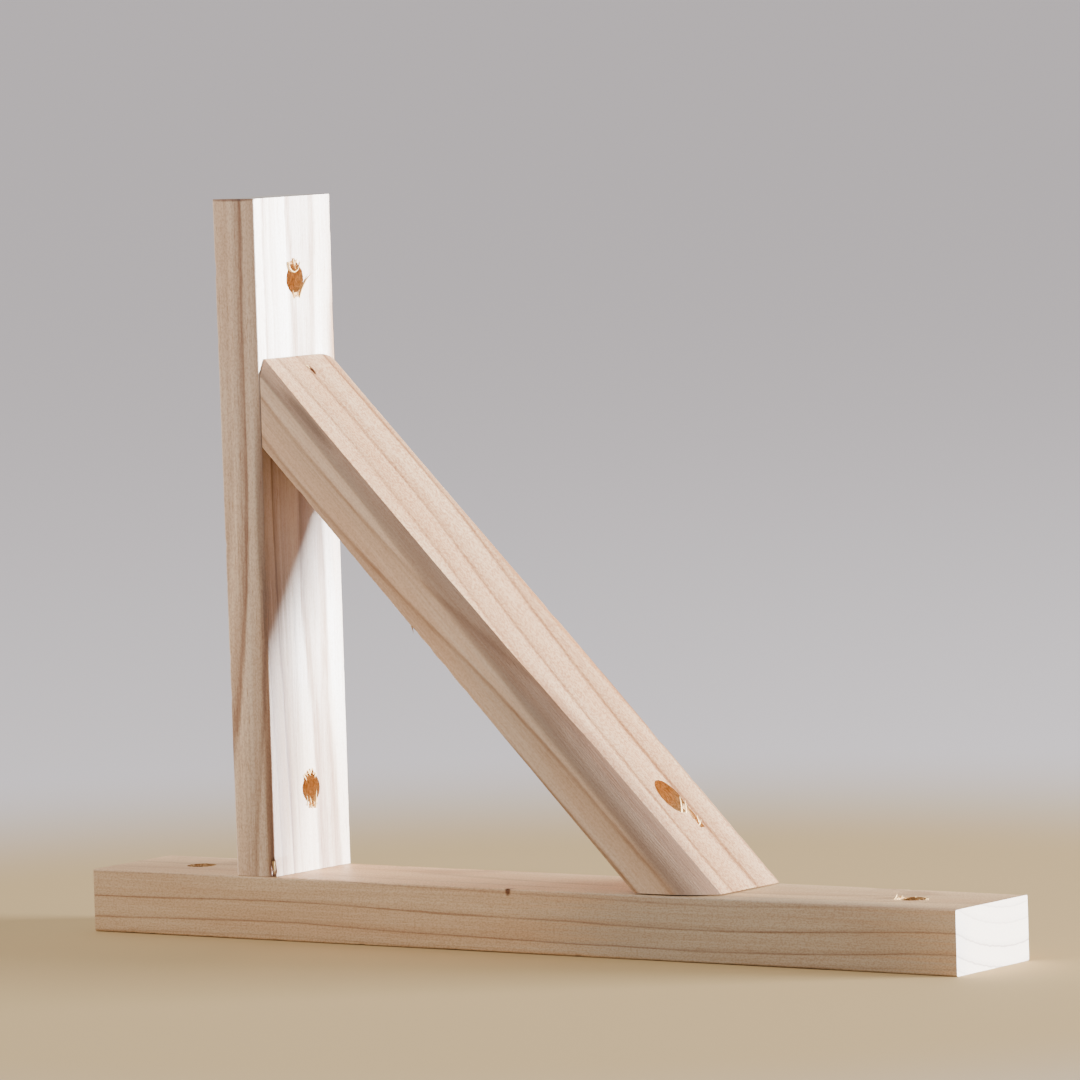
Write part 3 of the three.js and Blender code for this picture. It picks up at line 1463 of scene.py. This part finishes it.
@dataclass
class Arm(Member):
    """The lath that stands square on the plate.

    Attributes:
        node: The frame's node that it stands for.
        ease: How far two of its arrises are eased.
        back_ease: How far the upper back one is.
        under_ease: How far the front one away from the brace is.
        flare: How much thicker it is at its tip than at its foot.
        hole_diameter: The cord holes' diameter.
        drill_reach: How far the drill runs to each side of a hole's middle.
    """

    node: str = "arm"
    ease: float = 0.6
    back_ease: float = 1.3
    under_ease: float = 1.2
    flare: float = 1.2
    hole_diameter: float = 8.8
    drill_reach: float = 24.0

    def wood(self) -> Softwood:
        """Describes its wood: one broad dark band on the narrow face, and a few lines on the wide one.

        Returns:
            The finish.
        """
        return Softwood(
            name="arm_softwood",
            seed=31.0,
            pith=(23.5, -20.0),
            rings=((20.64, 1.0), (24.9, 0.4), (27.4, 1.0), (31.5, 0.7), (34.5, 0.6)),
            band=1.35,
            shade=0.5,
            swings=(Swing(0.0, 0.5, 0.0, 34.0), Swing(5.5, 0.0, 210.0, 70.0)),
            marks_and_painted_light=(
                MarkAndPaintedLight((0.0, 0.0, -7.4), (0.9, 2.4, 12.0), (0.42, 0.32, 0.28)),
                # Painted shade: the wide face darker along its rounded back arris
                MarkAndPaintedLight((50.0, 40.2, 0.0), (36.0, 5.0, 4.0), (0.50, 0.34, 0.22)),
                MarkAndPaintedLight((201.5, 0.0, -1.0), (3.6, 1.3, 1.5), (0.62, 0.42, 0.28)),
                # Painted shadow: the brace's shadow on the wide face, darker below the brace
                MarkAndPaintedLight((96.0, 8.0, 0.0), (44.0, 36.0, 4.0), (0.50, 0.44, 0.40)),
                # Painted shadow: the soft tail of the brace's shadow, darker along the wide face's front
                # edge
                MarkAndPaintedLight((164.0, 0.0, 0.0), (66.0, 20.0, 4.0), (0.50, 0.38, 0.30)),
                # Painted shade: the wide face darker and warmer towards the foot
                MarkAndPaintedLight((196.0, 16.0, 0.0), (58.0, 36.0, 4.0), (0.76, 0.65, 0.54)),
                # Painted highlight: a paler strip along the narrow face's under arris
                MarkAndPaintedLight((102.0, 0.0, -15.9), (400.0, 6.0, 9.0), (1.17, 1.13, 1.08)),
            ),
            tints=(
                # Painted shade: the shaded narrow face toned browner than the whitened wide face
                FaceTint((0.0, -1.0, 0.0), 0.80, 0.95, (0.90, 0.76, 0.58), 0.2),
                # Painted highlight: the rounded under arris paler
                FaceTint((0.0, -0.6, -0.8), 0.86, 0.97, (1.18, 1.08, 0.98)),
            ),
            # Painted highlight: the early wood whitened, so that the lit wide face glares white
            pale=(0.94, 0.88, 0.83),
            warm=(0.89, 0.78, 0.68),
            late=(0.34, 0.185, 0.095),
            dashes=1.0,
            specks=0.35,
            gloss=0.8,
        )

    def timber(self) -> Lath:
        """Describes the planed lath.

        Returns:
            The lath.
        """
        low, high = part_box(self.node)
        eases = {arris: self.ease for arris in Arris}
        eases[Arris.BACK_UPPER] = self.back_ease
        eases[Arris.FRONT_UNDER] = self.under_ease
        return Lath(
            name="arm_timber",
            node=self.node,
            slot="arm_wood",
            turn=Turn.STANDING,
            finish=self.wood(),
            ends=(0.0, (high[2] - low[2]) / MM),
            width=(high[1] - low[1]) / MM,
            thickness=(high[0] - low[0]) / MM,
            origin=Vector((high[0], low[1], high[2])),
            eases=eases,
            seed=19,
            flare=self.flare,
        )

    def bore(self, timber: Lath) -> None:
        """Drills the two cord holes.

        Args:
            timber: The planed lath.
        """
        straight_in = Vector((0, 0, 1))
        for number, name in enumerate(("outer_cord_hole", "inner_cord_hole")):
            middle = timber.opening(name)
            timber.bores.append(
                Bore(middle, straight_in, self.hole_diameter, self.drill_reach, 0.3, 5.0 + number)
            )

    def tear(self, timber: Lath) -> None:
        """Raises the curls, splinters and fuzz of the two holes' rims, and splits the foot's corner.

        Args:
            timber: The planed lath.
        """
        outer = timber.opening("outer_cord_hole")
        inner = timber.opening("inner_cord_hole")
        foot = Vector((199.4, 0.5, 0.0))
        # Each strand: where it is held from a point, its way, its length and width, and its curl
        strands = (
            (outer, (-5.2, -3.6, -0.1), (1.0, 0.0, 0.08), 9.6, 1.6, 3.7),
            (outer, (-6.2, -0.9, -0.3), (1.0, 0.15, 0.1), 3.8, 1.2, 0.5),
            (outer, (5.9, 2.0, -0.6), (-1.0, 0.35, 0.14), 9.4, 1.5, -0.75),
            (outer, (6.1, -0.9, -0.5), (-1.0, 0.05, 0.1), 3.0, 0.9, 0.2),
            (outer, (6.2, 0.0, -0.6), (-1.0, -0.1, 0.1), 2.5, 0.9, 0.2),
            (inner, (6.2, 1.6, -0.5), (-1.0, 0.08, 0.1), 5.6, 1.9, -0.2),
            (inner, (6.2, 0.1, -0.6), (-1.0, -0.1, 0.1), 4.2, 1.3, 0.3),
            (inner, (5.2, -2.4, -0.4), (-1.0, 0.2, 0.1), 3.4, 1.2, 0.4),
            (inner, (5.9, -1.4, -0.2), (-0.6, 0.5, 0.5), 2.0, 0.9, 1.4),
            (foot, (0.0, 0.0, -0.8), (1.0, -0.06, 0.1), 3.8, 0.9, 0.12),
        )
        for point, (along, back, out), way, length, width, curl in strands:
            root = (point.x + along, point.y + back, out)
            timber.slivers.append(Sliver(root, way, length, width, curl, axis=(0.0, 0.0, 1.0)))
        torn_back = Vector((1.4, 0.0, 0.0))
        timber.slivers += rim_fuzz(inner - torn_back, 4.5, (135.0, 240.0), 11, 1.9, 21)
        timber.slivers += rim_fuzz(inner + torn_back, 4.5, (-45.0, 50.0), 6, 1.3, 22)
        timber.slivers += rim_fuzz(outer - torn_back, 4.5, (130.0, 225.0), 7, 1.4, 23)
        for number, hole in enumerate((outer, inner)):
            above = (hole.x - 3.3, hole.y - 0.3, 0.2)
            below = (hole.x + 3.5, hole.y + 0.5, 0.2)
            timber.scoops += [
                Scoop(above, (2.7, 3.1, 1.5), seed=31.0 + number, bored=True),
                Scoop(below, (2.5, 2.6, 1.2), seed=35.0 + number, bored=True),
            ]
        timber.scoops.append(Scoop((202.0, 0.1, -0.4), (3.8, 0.9, 1.2), seed=12.0))


@dataclass
class Brace(Member):
    """The lath at 45 degrees between the arm and the plate.

    Attributes:
        node: The frame's node that it stands for.
        thickness: Its thickness.
        under_ease: How far the two arrises of its underside are eased.
        hole_diameter: The cord hole's diameter.
        drill_reach: How far the drill runs to each side of the hole's middle.
        channel_diameter: The diameter of the short channel that the cord has worn below the hole.
        channel_reach: How far the channel runs to each side of its middle.
        front_round: The radius that its upper front arris has before its wane.
        back_round: The radius that its upper back arris has before its wane.
    """

    node: str = "brace"
    thickness: float = 19.0
    under_ease: float = 0.6
    hole_diameter: float = 9.2
    drill_reach: float = 34.0
    channel_diameter: float = 2.4
    channel_reach: float = 5.4
    front_round: float = 4.0
    back_round: float = 3.0

    def wood(self) -> Softwood:
        """Describes its wood: pinkish and roughly planed, with a grey stain and painted shade along the
        worn front arris, and painted shade on its upper face and lower front.

        Returns:
            The finish.
        """
        return Softwood(
            name="brace_softwood",
            seed=57.0,
            pith=(93.7, -125.0),
            rings=(
                (119.5, 0.5),
                (126.0, 0.6),
                (132.0, 0.5),
                (137.0, 0.8),
                (142.5, 1.0),
                (149.3, 0.8),
                (155.3, 0.65),
            ),
            band=1.8,
            shade=0.4,
            swings=(Swing(9.3, 0.0, -70.0, 80.0),),
            marks_and_painted_light=(
                MarkAndPaintedLight((-86.0, 1.0, -1.2), (17.0, 1.7, 1.6), (0.60, 0.56, 0.53)),
                MarkAndPaintedLight((-104.0, 21.0, -0.6), (2.2, 1.1, 1.4), (0.26, 0.15, 0.09)),
                # Painted shade: the front face darker low down and towards the foot
                MarkAndPaintedLight((66.0, 0.0, -12.0), (78.0, 12.0, 18.0), (0.84, 0.88, 0.93)),
                MarkAndPaintedLight((4.0, 37.6, 0.0), (60.0, 3.2, 3.0), (0.76, 0.60, 0.46)),
                # Painted shade: a soft darker zone on both sides of the worn front arris towards the
                # foot
                MarkAndPaintedLight((70.0, 5.4, 0.0), (58.0, 6.5, 4.0), (0.68, 0.62, 0.60)),
            ),
            tints=(
                # Painted shade: the upper face darker, with the speckle of torn fibre ends
                FaceTint((0.0, 0.0, 1.0), 0.80, 0.95, (0.495, 0.44, 0.372), 0.75),
                # A grey stain with painted shade: the faces of the worn front arris darker
                FaceTint((0.0, -0.70, 0.71), 0.76, 0.96, (0.40, 0.35, 0.33)),
            ),
            pale=(0.90, 0.66, 0.45),
            warm=(0.85, 0.58, 0.37),
            late=(0.36, 0.165, 0.06),
            specks=0.35,
        )

    def wanes(self) -> dict[Arris, Wane]:
        """Describes the worn shapes of its two upper arrises.

        Returns:
            Each arris's wane.
        """
        front = Wane(
            width=through(
                (-110, 2.6), (-86, 2.2), (-28, 2.4), (8, 3.0), (32, 4.1), (58, 5.4), (96, 6.2)
            ),
            depth=through((-110, 3.8), (-64, 4.8), (-28, 6.4), (8, 7.4), (44, 8.2), (96, 8.8)),
            roundness=through((14, 0.0), (60, 0.25)),
        )
        back = Wane(
            width=through((-118, 8.2), (42, 2.6)),
            depth=through((-118, 2.4), (42, 1.2)),
            roundness=lambda x: 0.7,
        )
        return {Arris.FRONT_UPPER: front, Arris.BACK_UPPER: back}

    def timber(self) -> Lath:
        """Describes the planed lath.

        Returns:
            The lath.
        """
        low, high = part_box(self.node)
        half = (high[0] - low[0]) / MM / math.sqrt(2)
        return Lath(
            name="brace_timber",
            node=self.node,
            slot="brace_wood",
            turn=Turn.SLOPING,
            finish=self.wood(),
            ends=(-half, half),
            width=(high[1] - low[1]) / MM,
            thickness=self.thickness,
            origin=Vector(((low[0] + high[0]) / 2, low[1], (low[2] + high[2]) / 2)),
            eases={
                Arris.FRONT_UNDER: self.under_ease,
                Arris.BACK_UNDER: self.under_ease,
                Arris.FRONT_UPPER: self.front_round,
                Arris.BACK_UPPER: self.back_round,
            },
            seed=43,
            mitre=self.thickness,
            wanes=self.wanes(),
        )

    def mouth(self, timber: Lath) -> tuple[Vector, Vector, Vector]:
        """Finds where the cord hole comes out of the broad face.

        Args:
            timber: The planed lath.

        Returns:
            The hole's middle, its direction, and the middle of its mouth.
        """
        hole = timber.opening("brace_cord_hole")
        way = Vector((1, 0, 1)).normalized()
        return hole, way, hole - way * (hole.z / way.z)

    def bore(self, timber: Lath) -> None:
        """Drills the cord hole and wears the channel below it.

        Args:
            timber: The planed lath.
        """
        hole, way, mouth = self.mouth(timber)
        channel = mouth + Vector((7.4, 3.1, 0.0))
        down_the_grain = Vector((1, 0, -0.09)).normalized()
        timber.bores += [
            Bore(hole, way, self.hole_diameter, self.drill_reach, 0.12, 14.0),
            Bore(channel, down_the_grain, self.channel_diameter, self.channel_reach, 0.25, 21.0),
        ]

    def tear(self, timber: Lath) -> None:
        """Raises the strands beside the cord hole, and chips the nail hole and the lower front arris.

        Args:
            timber: The planed lath.
        """
        _, _, mouth = self.mouth(timber)
        timber.scoops += [
            Scoop((-104.0, 21.0, 0.0), (2.0, 0.7, 1.3), seed=26.0),
            Scoop((-15.3, 0.0, -19.0), (1.6, 0.7, 0.7), seed=25.0),
        ]
        upright = (-0.7, 0.05, 0.72)
        timber.slivers += [
            Sliver((mouth.x + 6.5, mouth.y - 0.9, -0.5), upright, 5.2, 0.8, -0.35),
            Sliver((mouth.x + 7.0, mouth.y + 0.9, -0.5), upright, 4.2, 0.7, -0.25),
            Sliver((mouth.x + 11.4, mouth.y + 3.4, -0.3), (-1.0, -0.25, 0.35), 3.0, 0.7, 0.5),
            Sliver((mouth.x + 11.8, mouth.y + 2.4, -0.3), (-0.6, 0.2, 0.8), 2.0, 0.6, 0.4),
            Sliver((-106.4, 20.2, -0.3), (1.0, 0.1, 0.35), 1.8, 0.8, 0.3),
            Sliver((-17.0, 0.2, -18.7), (1.0, -0.2, -0.25), 2.6, 0.6, 0.2),
        ]


@dataclass
class Studio:
    """The plain floor, the soft lights and the camera.

    Attributes:
        floor_middle: The radius of the floor's middle, in metres.
        floor_reach: The radius of the whole floor, in metres.
        target: Where the camera looks, in metres.
        azimuth: How far round from the front the camera stands, in degrees.
        elevation: How far above the level the camera stands, in degrees.
        roll: How far the camera leans over, in degrees.
        distance: How far the camera is from what it looks at, in metres.
        focal_share: The lens's length as a share of the picture's width.
        room_window: The direction that the room's soft light is strongest from.
        room_low: The room's light from the other side.
        room_high: The room's light from that direction.
    """

    floor_middle: float = 3.0
    floor_reach: float = 900.0
    target: Vector = field(default_factory=lambda: Vector((-0.0008, 0.0031, 0.1205)))
    azimuth: float = 34.39
    elevation: float = 4.01
    roll: float = -1.717
    distance: float = 2.37
    focal_share: float = 8000 / 1080
    room_window: Point = (-0.50, -0.20, 0.84)
    room_low: float = 0.04
    room_high: float = 1.62

    def lay_floor(self) -> None:
        """Lays the plain pale floor."""
        work = bmesh.new()
        bmesh.ops.create_circle(work, cap_ends=True, segments=64, radius=self.floor_middle)
        rim = [edge for edge in work.edges if edge.is_boundary]
        made = bmesh.ops.extrude_edge_only(work, edges=rim)
        outer = [item for item in made["geom"] if isinstance(item, bmesh.types.BMVert)]
        grow = self.floor_reach / self.floor_middle
        bmesh.ops.scale(work, vec=(grow, grow, 1.0), verts=outer)
        bmesh.ops.recalc_face_normals(work, faces=work.faces)
        floor = add_to_scene("floor", mesh_of(work, "floor"))
        floor.data.materials.append(PaleFloor().build())

    def hang_light(
        self,
        name: str,
        towards: Point,
        distance: float,
        size: tuple[float, float],
        power: float,
        colour: Colour,
    ) -> None:
        """Hangs a soft light that faces the bracket.

        Args:
            name: The light's name.
            towards: The direction from the bracket to the light.
            distance: How far away it is, in metres.
            size: Its width and height, in metres.
            power: Its power, in watts.
            colour: Its colour.
        """
        data = bpy.data.lights.new(name, "AREA")
        data.shape = "RECTANGLE"
        data.size, data.size_y = size
        data.energy = power
        data.color = colour
        light = add_to_scene(name, data)
        way = Vector(towards).normalized()
        light.location = self.target + way * distance
        light.rotation_euler = way.to_track_quat("Z", "Y").to_euler()

    def light_up(self) -> None:
        """Sets the low key light from the right, the fill and the room's soft light."""
        self.hang_light(
            "key",
            towards=(1.0, 0.42, 0.012),
            distance=2.6,
            size=(1.15, 0.2),
            power=800.0,
            colour=(0.88, 0.94, 1.0),
        )
        self.hang_light(
            "fill",
            towards=(-1.0, -1.1, 0.9),
            distance=1.2,
            size=(0.8, 0.8),
            power=2.4,
            colour=(1.0, 0.92, 0.82),
        )
        self.light_room()

    def light_room(self) -> None:
        """Gives the room its soft light, strongest from above and from the left."""
        world = bpy.data.worlds.new("room")
        world.use_nodes = True
        nodes = world.node_tree.nodes
        links = world.node_tree.links
        background = nodes["Background"]
        background.inputs["Color"].default_value = (0.98, 0.98, 1.0, 1.0)
        coordinates = nodes.new("ShaderNodeTexCoord")
        facing = nodes.new("ShaderNodeVectorMath")
        facing.operation = "DOT_PRODUCT"
        facing.inputs[1].default_value = Vector(self.room_window).normalized()
        rise = nodes.new("ShaderNodeMapRange")
        rise.inputs["To Min"].default_value = self.room_low
        rise.inputs["To Max"].default_value = self.room_high
        links.new(coordinates.outputs["Object"], facing.inputs[0])
        links.new(facing.outputs["Value"], rise.inputs["Value"])
        links.new(rise.outputs["Result"], background.inputs["Strength"])
        bpy.context.scene.world = world

    def set_camera(self) -> None:
        """Stands the camera where the photograph was taken from."""
        turn = math.radians(self.azimuth)
        rise = math.radians(self.elevation)
        level = math.cos(rise)
        back = Vector((math.sin(turn) * level, -math.cos(turn) * level, math.sin(rise)))
        data = bpy.data.cameras.new("camera")
        data.sensor_fit = "HORIZONTAL"
        data.sensor_width = 36.0
        data.lens = data.sensor_width * self.focal_share
        data.clip_end = 2000.0
        camera = add_to_scene("camera", data)
        facing = back.to_track_quat("Z", "Y").to_matrix().to_4x4()
        lean = Matrix.Rotation(math.radians(self.roll), 4, "Z")
        camera.matrix_world = Matrix.Translation(self.target + back * self.distance) @ facing @ lean
        bpy.context.scene.camera = camera


def main() -> None:
    """Builds the studio and the three laths."""
    studio = Studio()
    studio.set_camera()
    studio.lay_floor()
    studio.light_up()
    for member in (WallPlate(), Arm(), Brace()):
        piece = member.build()
        LOG.info("%s: %d faces", piece.name, len(piece.data.polygons))


if __name__ == "__main__":
    main()
